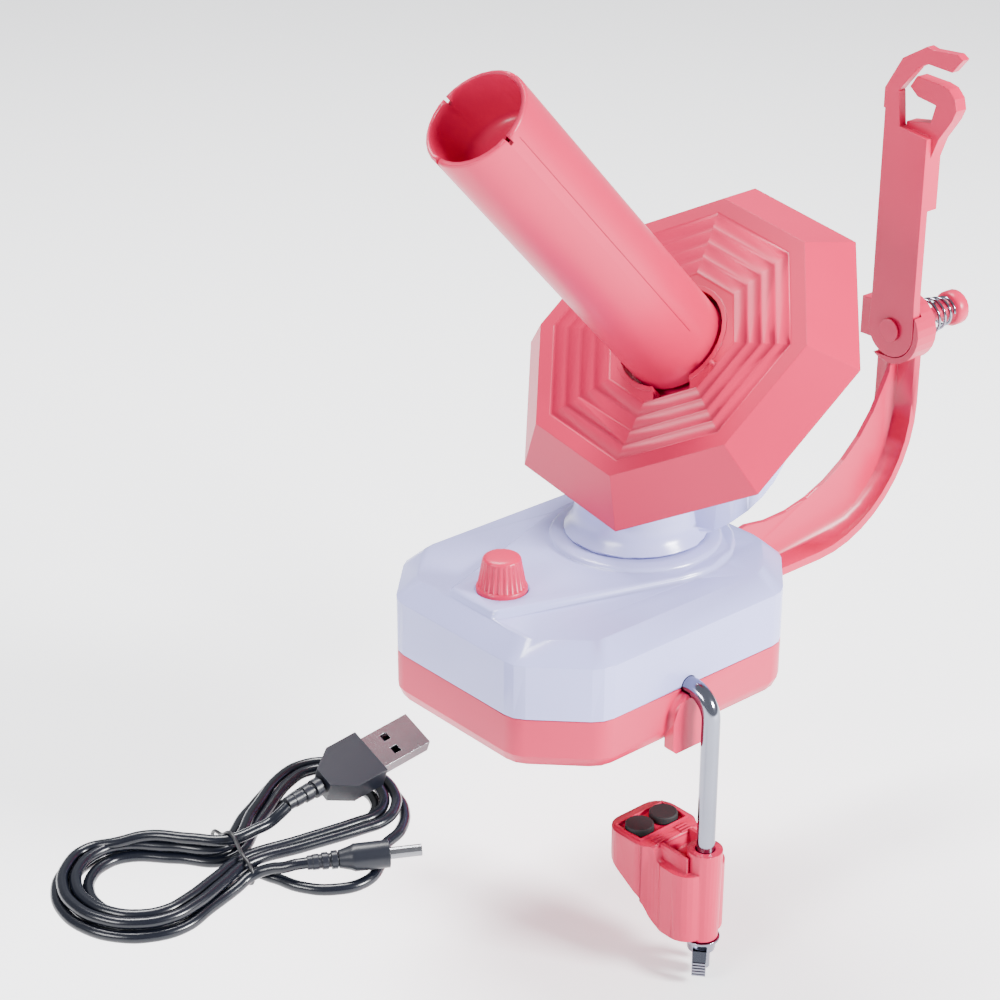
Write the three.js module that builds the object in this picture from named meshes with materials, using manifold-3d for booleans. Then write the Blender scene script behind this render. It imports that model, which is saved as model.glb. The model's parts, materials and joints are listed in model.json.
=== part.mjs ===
// Ball winder: a motor-driven yarn winder with a tilted bobbin tube on a turning rotor head,
// a folding thread guide arm, a table clamp and a USB lead.
// Millimetres, +Z up. Origin at the middle of the case's underside, X along the case, arm at +X.
import * as THREE from 'three';
import * as BufferGeometryUtils from 'three/addons/utils/BufferGeometryUtils.js';
import Module from 'manifold-3d';

const wasm = await Module();
wasm.setup();

// ---------------------------------------------------------------- driving dimensions
const GAP = 0.3; // left between touching pieces
const DEG = Math.PI / 180;

const CASE = {
  halfX: 59, halfY: 48.5, corner: 20, edge: 4, wall: 2.2, seamZ: 18, wallTopZ: 36.6, topZ: 42.7, bevel: 6.5,
};
const CASE_FLOOR_ROUND = 5;
const SCREW_POSTS = [[-46, -26], [-20, 40], [44, -30], [44, 30]];
const POST_R = 4;
const ARM_SCREW = { x: 45, y: 5 }; // the guide arm's two screws, either side of the middle
const PLATFORM_Z = 45.3;
const PLATFORM_END = { x: -51.5, halfY: 12 };
const TURRET = { x: 19.3, ringR: 33, stepR: 28.4, topR: 24.3, topZ: 47.6, holeR: 17.5 };

const TILT = THREE.MathUtils.degToRad(42.8); // spindle axis, leaning from +Z towards -X
const FACE = new THREE.Vector3(31.5, 0, 112.6); // middle of the flange's front face, on the spindle axis
const APEX_S = (FACE.x - TURRET.x) / Math.sin(TILT); // where the spindle axis crosses the turret axis
const APEX_Z = FACE.z + APEX_S * Math.cos(TILT);

const BEVEL = { fixedTeeth: 18, spindleTeeth: 29, nearCone: 46.9, farCone: 52 };
const SPUR_MODULE = 1;
const PINION_TEETH = 12;
const IDLER_WHEEL_TEETH = 36;
const IDLER_PINION_TEETH = 12;
const ROTOR_TEETH = 56;
const LOW_GEAR_Z = 25; // underside of the rotor gear
const HIGH_GEAR_Z = 34; // underside of the motor pinion and the idler's wheel
const SPUR_FACE = 4;
const IDLER_ANGLE = THREE.MathUtils.degToRad(155);
const MOTOR_ANGLE = THREE.MathUtils.degToRad(165);

const PAN = { faceApothem: 48, rimApothem: 59.8, depth: 13.2, wall: 2.4, turn: THREE.MathUtils.degToRad(14.6) };
const SOCKET_R = 18.4; // hole in the flange's face that the tube stands in
const TUBE = { outerR: 17, innerR: 15.2, length: 118, foot: 7, ledgeDown: 17 };

const KNOB = { x: -38.6, baseR: 8.2, topR: 6.3, height: 12, flutes: 24, shaftR: 2.3 };
const ARM = { rootZ: 12, bendX: 102, bendZ: 59, outerR: 47, strip: 3, halfY: 8.5, webHalfY: 0.9 };
const PIVOT = { x: 141.6, z: 86, bossR: 12.5, bossDepth: 9.8, endR: 10, pinR: 2.4 };
const UPPER = { thick: 3.4, halfY: 9.5, footZ: 86, headZ: 157 };
const ROD = { x: -3, y: -58.7, z: 18, r: 3, bendR: 8.5, footZ: -83 };
const JAW = { topZ: -38, footZ: -71, padZ: -40, padY: -34, collarR: 5.8, halfX: 13, frontDrop: 5 };
const SPRING = { startX: 151.7, endX: 171.5, bigR: 7.8, smallR: 4.6, wireR: 0.55, turns: 5.5 };
const CORD_R = 1.7;
const HANK = { layer: 3.5, topZ: 7.5, waist: { x: -155, y: -16, half: 11.5 } };

// ---------------------------------------------------------------- finishes
const finish = (color, roughness, metalness = 0) => new THREE.MeshStandardMaterial({ color, roughness, metalness });
const pink = finish(0xf2707f, 0.42);
const white = finish(0xe9ebf4, 0.35);
const steel = finish(0xc9ccd0, 0.18, 1);
const brass = finish(0xc8a550, 0.3, 1);
const blackPlastic = finish(0x1b1d22, 0.55);
const blackRubber = finish(0x141416, 0.85);
const nylon = finish(0xf0efe8, 0.5);
const board = finish(0x2c6b3f, 0.55);

// ---------------------------------------------------------------- solids
function solid(geometry) {
  const plain = geometry.index ? geometry.clone() : geometry;
  for (const name of Object.keys(plain.attributes)) {
    if (name !== 'position') plain.deleteAttribute(name);
  }
  const merged = BufferGeometryUtils.mergeVertices(plain, 1e-4);
  const vertProperties = Float32Array.from(merged.attributes.position.array);
  const triVerts = Uint32Array.from(merged.index.array);
  return new wasm.Manifold(new wasm.Mesh({ numProp: 3, vertProperties, triVerts }));
}

function geometryOf(manifold) {
  const out = manifold.getMesh();
  const geometry = new THREE.BufferGeometry();
  geometry.setAttribute('position', new THREE.BufferAttribute(Float32Array.from(out.vertProperties), 3));
  geometry.setIndex(new THREE.BufferAttribute(Uint32Array.from(out.triVerts), 1));
  return geometry;
}

const winder = new THREE.Group();

function node(name, manifold, material, parent = winder) {
  const mesh = new THREE.Mesh(geometryOf(manifold), material.clone());
  mesh.name = name;
  parent.add(mesh);
  return mesh;
}

// Turns a geometry made along +Z to lie along another axis, then moves it.
function along(geometry, axis, x, y, z) {
  if (axis === 'x') geometry.rotateY(Math.PI / 2);
  if (axis === 'y') geometry.rotateX(-Math.PI / 2);
  if (axis === '-z') geometry.rotateX(Math.PI);
  geometry.translate(x, y, z);
  return geometry;
}

function box(x0, x1, y0, y1, z0, z1) {
  const geometry = new THREE.BoxGeometry(x1 - x0, y1 - y0, z1 - z0);
  geometry.translate((x0 + x1) / 2, (y0 + y1) / 2, (z0 + z1) / 2);
  return solid(geometry);
}

function rod(r0, r1, length, axis, x, y, z, sides = 24) {
  const geometry = new THREE.CylinderGeometry(r1, r0, length, sides);
  geometry.rotateX(Math.PI / 2);
  geometry.translate(0, 0, length / 2);
  return solid(along(geometry, axis, x, y, z));
}

function lathe(profile, sides, axis = 'z', x = 0, y = 0, z = 0) {
  const points = profile.map(([r, h]) => new THREE.Vector2(r, h));
  const geometry = new THREE.LatheGeometry(points, sides);
  geometry.rotateX(Math.PI / 2);
  return solid(along(geometry, axis, x, y, z));
}

function plate(outline, z0, z1) {
  const shape = new THREE.Shape(outline.map(([x, y]) => new THREE.Vector2(x, y)));
  const geometry = new THREE.ExtrudeGeometry(shape, { depth: z1 - z0, bevelEnabled: false });
  geometry.translate(0, 0, z0);
  return solid(geometry);
}

// A plate drawn in Y and Z, standing across X from x0 to x1.
function plateAcrossX(outline, x0, x1) {
  const shape = new THREE.Shape(outline.map(([y, z]) => new THREE.Vector2(y, z)));
  const geometry = new THREE.ExtrudeGeometry(shape, { depth: x1 - x0, bevelEnabled: false });
  geometry.applyMatrix4(new THREE.Matrix4().makeBasis(
    new THREE.Vector3(0, 1, 0), new THREE.Vector3(0, 0, 1), new THREE.Vector3(1, 0, 0)));
  geometry.translate(x0, 0, 0);
  return solid(geometry);
}

// A plate drawn in X and Z, standing across Y from y0 to y1.
function plateAcrossY(outline, y0, y1) {
  const shape = new THREE.Shape(outline.map(([x, z]) => new THREE.Vector2(x, z)));
  const geometry = new THREE.ExtrudeGeometry(shape, { depth: y1 - y0, bevelEnabled: false });
  geometry.rotateX(Math.PI / 2);
  geometry.translate(0, y1, 0);
  return solid(geometry);
}

// A closed stack of outlines that all have the same number of points.
function loft(rings) {
  const count = rings[0].length;
  const vertices = rings.flat(2);
  const faces = [];
  for (let level = 0; level < rings.length - 1; level += 1) {
    for (let i = 0; i < count; i += 1) {
      const a = level * count + i;
      const b = level * count + ((i + 1) % count);
      faces.push(a, b, b + count, a, b + count, a + count);
    }
  }
  const flat = rings[0].map(([x, y]) => new THREE.Vector2(x, y));
  const top = (rings.length - 1) * count;
  for (const [a, b, c] of THREE.ShapeUtils.triangulateShape(flat, [])) {
    faces.push(a, c, b, top + a, top + b, top + c);
  }
  const geometry = new THREE.BufferGeometry();
  geometry.setAttribute('position', new THREE.BufferAttribute(new Float32Array(vertices), 3));
  geometry.setIndex(faces);
  return solid(geometry);
}

function sweep(points, r, sides, steps) {
  const path = new THREE.CatmullRomCurve3(points.map((p) => new THREE.Vector3(...p)));
  const ring = new THREE.Shape(arc(0, 0, r, 0, 2 * Math.PI * (1 - 1 / sides), sides - 1)
    .map(([x, y]) => new THREE.Vector2(x, y)));
  return solid(new THREE.ExtrudeGeometry(ring, { steps, bevelEnabled: false, extrudePath: path }));
}

function arc(cx, cy, r, from, to, steps) {
  const points = [];
  for (let i = 0; i <= steps; i += 1) {
    const a = from + ((to - from) * i) / steps;
    points.push([cx + r * Math.cos(a), cy + r * Math.sin(a)]);
  }
  return points;
}

const join = (first, ...rest) => rest.reduce((all, one) => all.add(one), first);
const cut = (first, ...rest) => rest.reduce((all, one) => all.subtract(one), first);

function ringPiece(outerR, innerR, z0, z1, sides = 24) {
  const body = rod(outerR, outerR, z1 - z0, 'z', 0, 0, z0, sides);
  return cut(body, rod(innerR, innerR, z1 - z0 + 2, 'z', 0, 0, z0 - 1, sides));
}

function ccw(outline) {
  const points = outline.map(([a, b]) => new THREE.Vector2(a, b));
  return THREE.ShapeUtils.isClockWise(points) ? [...outline].reverse() : outline;
}

function moved(manifold, matrix) {
  const geometry = geometryOf(manifold);
  geometry.applyMatrix4(matrix);
  return solid(geometry);
}

// A screw with its head at headZ, pointing up.
function screwUp(x, y, headZ, headR, length) {
  return join(rod(headR, headR, 1.8, 'z', x, y, headZ, 12), rod(1.1, 1.1, length, 'z', x, y, headZ + 1, 8));
}

// ---------------------------------------------------------------- case
// The case's plan: a long octagon with softened corners, drawn inwards by inset.
function caseOutline(inset) {
  const { halfX, halfY, corner, edge } = CASE;
  const x = halfX - inset;
  const y = halfY - inset;
  const c = corner - inset * (2 - Math.SQRT2);
  const corners = [[x, y - c], [x - c, y], [c - x, y], [-x, y - c], [-x, c - y], [c - x, -y], [x - c, -y], [x, c - y]]
    .map(([px, py]) => new THREE.Vector2(px, py));
  return corners.flatMap((corner2, i) => {
    const before = corners[(i + 7) % 8].clone().sub(corner2).setLength(edge).add(corner2);
    const after = corners[(i + 1) % 8].clone().sub(corner2).setLength(edge).add(corner2);
    const middle = before.clone().add(after).multiplyScalar(0.5).lerp(corner2, 0.5);
    return [before, middle, after].map((point) => point.toArray());
  });
}

const caseStack = (levels) => loft(levels.map(([z, inset]) => caseOutline(inset).map(([x, y]) => [x, y, z])));

function floorRound() {
  const levels = [];
  for (let step = 0; step <= 2; step += 1) {
    const a = step * 45 * DEG;
    levels.push([CASE_FLOOR_ROUND * (1 - Math.cos(a)), CASE_FLOOR_ROUND * (1 - Math.sin(a))]);
  }
  return levels;
}

const rodBore = () => rod(ROD.r + GAP, ROD.r + GAP, 40, 'y', ROD.x, -CASE.halfY - 12, ROD.z, 20);
const retainerSlot = () => box(ROD.x - 6, ROD.x + 6, -36.3, -32.7, 9, 30);

function lowerCase() {
  const { halfX, halfY, seamZ, wall } = CASE;
  const joinZ = seamZ - GAP / 2;
  const outside = caseStack([...floorRound(), [joinZ, 0]]);
  const inside = caseStack([[wall, wall + 3], [wall + 3, wall], [seamZ + 1, wall]]);
  const posts = SCREW_POSTS.map(([x, y]) => rod(POST_R, POST_R, joinZ - 1, 'z', x, y, 1, 12));
  const columnFoot = rod(9, 8, 6, 'z', TURRET.x, 0, 1, 20);
  const motorRing = rod(14, 14, 5, 'z', MOTOR[0], MOTOR[1], 1, 20);
  const motorSeat = cut(motorRing, rod(12.3, 12.3, 6, 'z', MOTOR[0], MOTOR[1], 3.2, 24));
  const lip = plateAcrossY([[-10.5, -3], [-12, -1.5], ...arc(ROD.x, 8.5, 9, Math.PI, 0, 8), [6, -1.5], [4.5, -3]],
    -halfY - 3, -halfY + 1);
  const rodBed = box(ROD.x - 5, ROD.x + 5, -halfY + 1, -halfY + 26, 1, joinZ);
  const armLedge = box(halfX - 22, halfX - 1, -11, 11, 1, ARM.rootZ - GAP);
  const shell = join(cut(outside, inside), ...posts, columnFoot, motorSeat, lip, rodBed, armLedge);
  const screwHoles = SCREW_POSTS.flatMap(([x, y]) => [
    rod(1.7, 1.7, seamZ + 2, 'z', x, y, -1, 8),
    rod(3.2, 3.2, 4, 'z', x, y, -1, 12),
  ]);
  const columnHoles = [rod(1.7, 1.7, 10, 'z', TURRET.x, 0, -1, 8), rod(3.4, 3.4, 4, 'z', TURRET.x, 0, -1, 12)];
  const armHoles = [-1, 1].flatMap((side) => [
    rod(1.6, 1.6, 14, 'z', ARM_SCREW.x, side * ARM_SCREW.y, -1, 8),
    rod(3.1, 3.1, 6, 'z', ARM_SCREW.x, side * ARM_SCREW.y, -1, 12),
  ]);
  const jackHole = box(8.5, 17.5, halfY - 4, halfY + 1, 6, 12);
  const armSlot = box(halfX - 5, halfX + 2, -ARM.halfY - GAP, ARM.halfY + GAP, ARM.rootZ - GAP, seamZ + 1);
  return cut(shell, ...screwHoles, ...columnHoles, ...armHoles, rodBore(), retainerSlot(), jackHole, armSlot);
}

// The raised deck's plan: a half circle round the turret, narrowing to a blunt end under the knob.
function platformOutline(inset) {
  const r = TURRET.ringR - inset;
  const endX = PLATFORM_END.x + inset;
  const endY = PLATFORM_END.halfY - inset;
  const lean = Math.asin((r - endY) / (TURRET.x - endX));
  const start = Math.PI / 2 + lean;
  const round = 2.5;
  return [
    ...arc(TURRET.x, 0, r, -start, start, 18),
    ...arc(endX + round, endY - round, round, start, Math.PI, 2),
    ...arc(endX + round, -endY + round, round, Math.PI, 2 * Math.PI - start, 2),
  ];
}

const platformStack = (levels) => loft(levels
  .map(([z, inset]) => platformOutline(inset).map(([x, y]) => [x, y, z])));

function upperCase() {
  const { halfX, halfY, seamZ, wallTopZ, topZ, bevel, wall } = CASE;
  const joinZ = seamZ + GAP / 2;
  const outside = caseStack([[joinZ, 0], [wallTopZ, 0], [topZ, bevel]]);
  const inside = caseStack([[seamZ - 1, wall], [wallTopZ - 1, wall], [topZ - wall, bevel + 1]]);
  const deck = platformStack([[topZ - 0.5, 0], [PLATFORM_Z - 0.8, 0.3], [PLATFORM_Z, 1.2]]);
  const deckHollow = platformStack([[topZ - wall - 1, 2.5], [PLATFORM_Z - wall, 2.5]]);
  const { stepR, topR, holeR } = TURRET;
  const step = [[0, PLATFORM_Z - 1], [stepR, PLATFORM_Z - 1], [stepR, PLATFORM_Z + 0.8], [stepR - 1, PLATFORM_Z + 1.8],
    [topR + 0.6, TURRET.topZ - 0.2], [topR, TURRET.topZ], [0, TURRET.topZ]];
  const turret = lathe(step, 32, 'z', TURRET.x, 0, 0);
  const posts = SCREW_POSTS.map(([x, y]) => rod(POST_R, POST_R, topZ - 2 - seamZ, 'z', x, y, joinZ, 12));
  const rodBed = box(ROD.x - 5, ROD.x + 5, -halfY + 1, -36.3, joinZ, seamZ + 8);
  const shell = join(cut(join(outside, deck), inside, deckHollow), turret, ...posts, rodBed);
  const mouth = rod(holeR, holeR, 12, 'z', TURRET.x, 0, topZ - 4, 32);
  const knobRecess = rod(KNOB.baseR + 0.7, KNOB.baseR + 0.7, 2, 'z', KNOB.x, 0, PLATFORM_Z - 0.9, 24);
  const shaftHole = rod(3.8, 3.8, 8, 'z', KNOB.x, 0, topZ - 4, 12);
  const threads = SCREW_POSTS.map(([x, y]) => rod(1.3, 1.3, 12, 'z', x, y, seamZ - 1, 8));
  const armSlot = box(halfX - 5, halfX + 2, -ARM.halfY - GAP, ARM.halfY + GAP, seamZ - 1, 34);
  return cut(shell, mouth, knobRecess, shaftHole, ...threads, rodBore(), retainerSlot(), armSlot);
}

// ---------------------------------------------------------------- gears
const spurRadius = (teeth) => (SPUR_MODULE * teeth) / 2;
const idlerReach = spurRadius(ROTOR_TEETH + IDLER_PINION_TEETH);
const motorReach = spurRadius(IDLER_WHEEL_TEETH + PINION_TEETH);
const IDLER = [TURRET.x + idlerReach * Math.cos(IDLER_ANGLE), idlerReach * Math.sin(IDLER_ANGLE)];
const MOTOR = [IDLER[0] + motorReach * Math.cos(MOTOR_ANGLE), IDLER[1] + motorReach * Math.sin(MOTOR_ANGLE)];

// A toothed outline with one tooth centred at the angle phase.
function toothOutline(teeth, rootR, tipR, phase) {
  const pitch = (2 * Math.PI) / teeth;
  const corners = [[rootR, -0.29], [tipR, -0.11], [tipR, 0.11], [rootR, 0.29]];
  const points = [];
  for (let i = 0; i < teeth; i += 1) {
    for (const [r, turn] of corners) {
      const a = phase + (i + turn) * pitch;
      points.push([r * Math.cos(a), r * Math.sin(a)]);
    }
  }
  return points;
}

function spur(teeth, phase, z0, z1) {
  const r = spurRadius(teeth);
  return plate(toothOutline(teeth, r - 1.3 * SPUR_MODULE, r + 0.85 * SPUR_MODULE, phase), z0, z1);
}

// The phase that puts a gap of the second gear on the tooth of the first, seen along reachAngle.
function meshPhase(teethA, phaseA, teethB, reachAngle) {
  const pitchA = (2 * Math.PI) / teethA;
  const pitchB = (2 * Math.PI) / teethB;
  const turnsA = (reachAngle - phaseA) / pitchA;
  return reachAngle + Math.PI + (turnsA + 0.5) * pitchB;
}

const idlerPinionPhase = meshPhase(ROTOR_TEETH, 0, IDLER_PINION_TEETH, IDLER_ANGLE);
const idlerWheelPhase = 0.05;
const pinionPhase = meshPhase(IDLER_WHEEL_TEETH, idlerWheelPhase, PINION_TEETH, MOTOR_ANGLE);

// A bevel gear with its cone's point at the origin and its axis along -Z.
function bevelGear(teeth, coneAngle, phase) {
  const rings = [BEVEL.farCone, BEVEL.nearCone].map((distance) => {
    const height = distance * Math.cos(coneAngle);
    const radius = distance * Math.sin(coneAngle);
    const grow = distance / BEVEL.nearCone;
    return toothOutline(teeth, radius - 1.6 * grow, radius + 0.95 * grow, phase).map(([x, y]) => [x, y, -height]);
  });
  return loft(rings);
}

const fixedCone = Math.atan(Math.sin(TILT) / (BEVEL.spindleTeeth / BEVEL.fixedTeeth + Math.cos(TILT)));
const spindleCone = TILT - fixedCone;
const fixedGearTopZ = APEX_Z - BEVEL.nearCone * Math.cos(fixedCone);
const fixedGearFootZ = APEX_Z - BEVEL.farCone * Math.cos(fixedCone);

// ---------------------------------------------------------------- column and rotor
const COLUMN = { r: 6, footR: 8, footZ: 7 + GAP, spigotR: 4 };
const BUSH_R = COLUMN.r + 1.6;
const SLEEVE_R = 9.5;
const ROTOR_FLOOR_Z = TURRET.topZ + 0.6;
const SLEEVE_FOOT_Z = 33; // the rotor's sleeve stands on the rotor gear's hub here

function centreColumn() {
  const { r, footR, footZ, spigotR } = COLUMN;
  const profile = [[0, footZ], [footR, footZ], [footR, footZ + 3], [r, footZ + 5], [r, fixedGearFootZ - GAP],
    [spigotR, fixedGearFootZ - GAP], [spigotR, fixedGearTopZ], [0, fixedGearTopZ]];
  const body = lathe(profile, 20, 'z', TURRET.x, 0, 0);
  const lowBore = rod(1.4, 1.4, 16, 'z', TURRET.x, 0, 0, 8);
  const highBore = rod(1.1, 1.1, 12, 'z', TURRET.x, 0, fixedGearTopZ - 10, 8);
  return cut(body, lowBore, highBore);
}

function fixedBevelGear() {
  const bore = rod(COLUMN.spigotR + GAP, COLUMN.spigotR + GAP, 20, '-z', 0, 0, fixedGearTopZ - APEX_Z + 5, 20);
  return cut(bevelGear(BEVEL.fixedTeeth, fixedCone, 0), bore);
}

// The spindle frame: its own Z runs up the spindle, with 0 at the flange's front face.
const spindleFrame = new THREE.Group();
spindleFrame.position.copy(FACE);
spindleFrame.rotation.y = -TILT;
spindleFrame.updateMatrixWorld();

const tiltedBox = (...sides) => moved(box(...sides), spindleFrame.matrixWorld);
const tiltedRod = (r, s0, s1, sides) => moved(rod(r, r, s1 - s0, 'z', 0, 0, s0, sides), spindleFrame.matrixWorld);

const CUP = { nearS: -15.5, farS: -45.3, nearR: 36, farR: 33, offset: 18, wall: 2 };

// The cup that holds the spindle gear: a leaning cylinder with both ends square to the spindle.
function cupSolid(shrink, nearS, farS) {
  const rings = [farS, nearS].map((s) => {
    const t = (s - CUP.farS) / (CUP.nearS - CUP.farS);
    const r = CUP.farR + (CUP.nearR - CUP.farR) * t - shrink;
    const sides = 32;
    return arc(-CUP.offset * (1 - t), 0, r, 0, 2 * Math.PI * (1 - 1 / sides), sides - 1).map(([x, y]) => [x, y, s]);
  });
  return moved(loft(rings), spindleFrame.matrixWorld);
}

const AXLE_R = 3;
const HUB_R = 7;

function rotorHousing() {
  const floor = ROTOR_FLOOR_Z;
  const drum = [[0, floor], [23.6, floor], [23.6, floor + 0.8], [21.8, floor + 2.6], [20.7, floor + 5.5],
    [20.3, floor + 9], [20.3, 100], [0, 100]];
  const hollow = [[0, floor + 2.2], [18.2, floor + 2.2], [18.2, 101], [0, 101]];
  const outer = join(lathe(drum, 28, 'z', TURRET.x, 0, 0), cupSolid(0, CUP.nearS, CUP.farS));
  const inner = join(lathe(hollow, 28, 'z', TURRET.x, 0, 0), cupSolid(CUP.wall, CUP.nearS + 1, CUP.farS + 12));
  const above = tiltedBox(-90, 90, -60, 60, CUP.nearS, 40);
  const below = box(-60, 120, -60, 60, 20, floor);
  const axlePost = tiltedRod(HUB_R, CUP.farS + 1, -30.5, 20);
  const sleeve = rod(SLEEVE_R, SLEEVE_R, floor - SLEEVE_FOOT_Z + 10, 'z', TURRET.x, 0, SLEEVE_FOOT_Z, 24);
  const shell = join(cut(outer, inner, above, below), cut(axlePost, below), sleeve);
  const bushBore = rod(BUSH_R + GAP, BUSH_R + GAP, 40, 'z', TURRET.x, 0, 30, 24);
  return cut(shell, bushBore, tiltedRod(AXLE_R + GAP, -41, -20, 16));
}

function rotorGear() {
  const gear = spur(ROTOR_TEETH, 0, LOW_GEAR_Z, LOW_GEAR_Z + SPUR_FACE);
  const hub = rod(12.5, 12.5, 8, 'z', 0, 0, LOW_GEAR_Z, 24);
  const bore = rod(BUSH_R + GAP, BUSH_R + GAP, 20, 'z', 0, 0, LOW_GEAR_Z - 2, 24);
  const seat = rod(SLEEVE_R + GAP, SLEEVE_R + GAP, 10, 'z', 0, 0, SLEEVE_FOOT_Z - GAP, 24);
  return cut(join(gear, hub), bore, seat);
}

// ---------------------------------------------------------------- spindle, flange and tube, in the spindle frame
const gearNearS = APEX_S - BEVEL.nearCone * Math.cos(spindleCone);
const SPINDLE_GEAR_PHASE = Math.PI + Math.PI / BEVEL.spindleTeeth;
const AXLE_FOOT_S = -40.5;
const SOCKET_DEPTH = 9;

function spindleAxle() {
  const shaft = rod(AXLE_R, AXLE_R, 44.5, 'z', 0, 0, AXLE_FOOT_S, 16);
  return join(shaft, rod(AXLE_R - 1, AXLE_R - 1, 3, 'z', 0, 0, AXLE_FOOT_S + 44, 12));
}

function spindleGear() {
  const lift = new THREE.Matrix4().makeTranslation(0, 0, APEX_S);
  const gear = moved(bevelGear(BEVEL.spindleTeeth, spindleCone, SPINDLE_GEAR_PHASE), lift);
  const boss = rod(HUB_R, HUB_R, 4, 'z', 0, 0, gearNearS - 1, 20);
  return cut(join(gear, boss), rod(AXLE_R + GAP, AXLE_R + GAP, 30, 'z', 0, 0, -40, 16));
}

function octagon(apothem, s) {
  const r = apothem / Math.cos(Math.PI / 8);
  return arc(0, 0, r, PAN.turn, PAN.turn + 2 * Math.PI * (7 / 8), 7).map(([x, y]) => [x, y, s]);
}

const STEP_APOTHEMS = [43, 38, 33, 28, 23];
const STEP_DOWN = 0.25; // each ring lies this much below the one outside it
const NOTCH_ANGLE = 218 * DEG;
const NUB = { radius: 21.7, angle: 262 * DEG };

function flangePlate() {
  const { faceApothem, rimApothem, depth, wall } = PAN;
  const outside = loft([octagon(rimApothem, -depth), octagon(faceApothem, 0)]);
  const inside = loft([octagon(rimApothem - wall, -depth - 0.1), octagon(faceApothem - wall, -wall)]);
  const stepCuts = STEP_APOTHEMS.map((a, i) => loft([octagon(a, -STEP_DOWN * (i + 1)), octagon(a, 1)]));
  const hubFootS = gearNearS + 3 + GAP;
  const hub = rod(HUB_R, HUB_R, -SOCKET_DEPTH - hubFootS, 'z', 0, 0, hubFootS, 20);
  const socketWall = ringPiece(SOCKET_R + 1.6, SOCKET_R, -SOCKET_DEPTH, -1, 28);
  const socketFloor = ringPiece(SOCKET_R + 1.6, AXLE_R + GAP, -SOCKET_DEPTH - 1.5, -SOCKET_DEPTH, 28);
  const socketHole = rod(SOCKET_R, SOCKET_R, 12, 'z', 0, 0, -SOCKET_DEPTH, 28);
  const notch = new THREE.BoxGeometry(5.5, 13, 9);
  notch.translate(SOCKET_R + 1, 0, -2.5);
  notch.rotateZ(NOTCH_ANGLE);
  const nub = rod(0.9, 0.6, 2.8, 'z', NUB.radius * Math.cos(NUB.angle), NUB.radius * Math.sin(NUB.angle), -2.4, 8);
  const bore = rod(AXLE_R + GAP, AXLE_R + GAP, 40, 'z', 0, 0, -38, 16);
  const pan = cut(join(cut(outside, inside, ...stepCuts), socketWall), socketHole);
  return join(cut(join(pan, socketFloor, hub), solid(notch), bore), nub);
}

function spindleCap() {
  const footS = -SOCKET_DEPTH + 0.5;
  return cut(rod(6, 5, 3, 'z', 0, 0, footS, 20), rod(AXLE_R + GAP, AXLE_R + GAP, 6, 'z', 0, 0, footS - 1, 16));
}

function bobbinTube() {
  const { outerR, innerR, length, foot, ledgeDown } = TUBE;
  const profile = [[innerR, -foot], [outerR - 1.2, -foot], [outerR, -foot + 1.2], [outerR, length - 0.6],
    [outerR - 0.6, length], [innerR, length], [innerR, -foot]];
  const ledgeS = length - ledgeDown;
  const ledge = rod(innerR + 0.5, innerR + 0.5, 2, 'z', 0, 0, ledgeS - 2, 32);
  const slot = box(-9, 9, -4, 4, ledgeS - 4, ledgeS + 1);
  const slotEnds = [-1, 1].map((side) => rod(4, 4, 5, 'z', side * 9, 0, ledgeS - 4, 12));
  const slits = [0, 1, 2, 3].map((i) => {
    const slit = new THREE.BoxGeometry(6, 1.2, 5);
    slit.translate(outerR - 0.5, 0, length);
    slit.rotateZ((i * 90 - 10) * DEG);
    return solid(slit);
  });
  return cut(join(lathe(profile, 32), ledge), slot, ...slotEnds, ...slits);
}

// ---------------------------------------------------------------- guide arm
function armLower() {
  const { rootZ, bendX, bendZ, outerR, strip, halfY, webHalfY } = ARM;
  const { bossR, bossDepth, pinR } = PIVOT;
  const endX = bendX + outerR;
  const topZ = PIVOT.z - 4;
  const rootX = CASE.halfX - 20;
  const outer = [[rootX, rootZ], ...arc(bendX, bendZ, outerR, -Math.PI / 2, 0, 10), [endX, topZ]];
  const inner = [[endX - strip, topZ], ...arc(bendX, bendZ, outerR - strip, 0, -Math.PI / 2, 10), [rootX, rootZ + strip]];
  const stripSolid = plateAcrossY([...outer, ...inner], -halfY, halfY);
  const webFootX = CASE.halfX + 1.5;
  const webInner = arc(85, 90, 59.5, -24 * DEG, -103 * DEG, 8);
  const web = plateAcrossY([[webFootX, rootZ + 1], [bendX, rootZ + 1], ...arc(bendX, bendZ, outerR - 1, -Math.PI / 2, 0, 10),
    [endX - 1, topZ], [endX - 4, topZ], [141.5, 70], ...webInner, [webFootX, 30]], -webHalfY, webHalfY);
  const boss = rod(bossR, bossR, bossDepth, 'x', PIVOT.x, 0, PIVOT.z, 28);
  const disc = PIVOT.endR + GAP;
  const pocketX = PIVOT.x + UPPER.thick + GAP;
  const pocket = rod(disc, disc, pocketX - PIVOT.x + 2, 'x', PIVOT.x - 2, 0, PIVOT.z, 28);
  const foldUp = box(PIVOT.x - 2, pocketX, -disc, 20, PIVOT.z, PIVOT.z + 20);
  const foldSide = box(PIVOT.x - 2, pocketX, 0, 20, PIVOT.z - disc, PIVOT.z + 20);
  const lug = box(pocketX + 0.4, PIVOT.x + bossDepth, 8, 17, PIVOT.z - 7, PIVOT.z + 7);
  const discRoom = rod(disc, disc, pocketX - PIVOT.x + 14, 'x', PIVOT.x - 14, 0, PIVOT.z, 28);
  const body = join(cut(join(stripSolid, web), discRoom), cut(boss, pocket, foldUp, foldSide), lug);
  const pinBore = rod(pinR + GAP, pinR + GAP, 40, 'x', PIVOT.x - 5, 0, PIVOT.z, 16);
  const screwBores = [-1, 1].map((side) => rod(1.3, 1.3, 8, 'z', ARM_SCREW.x, side * ARM_SCREW.y, rootZ - 2, 8));
  return cut(body, pinBore, ...screwBores);
}

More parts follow.
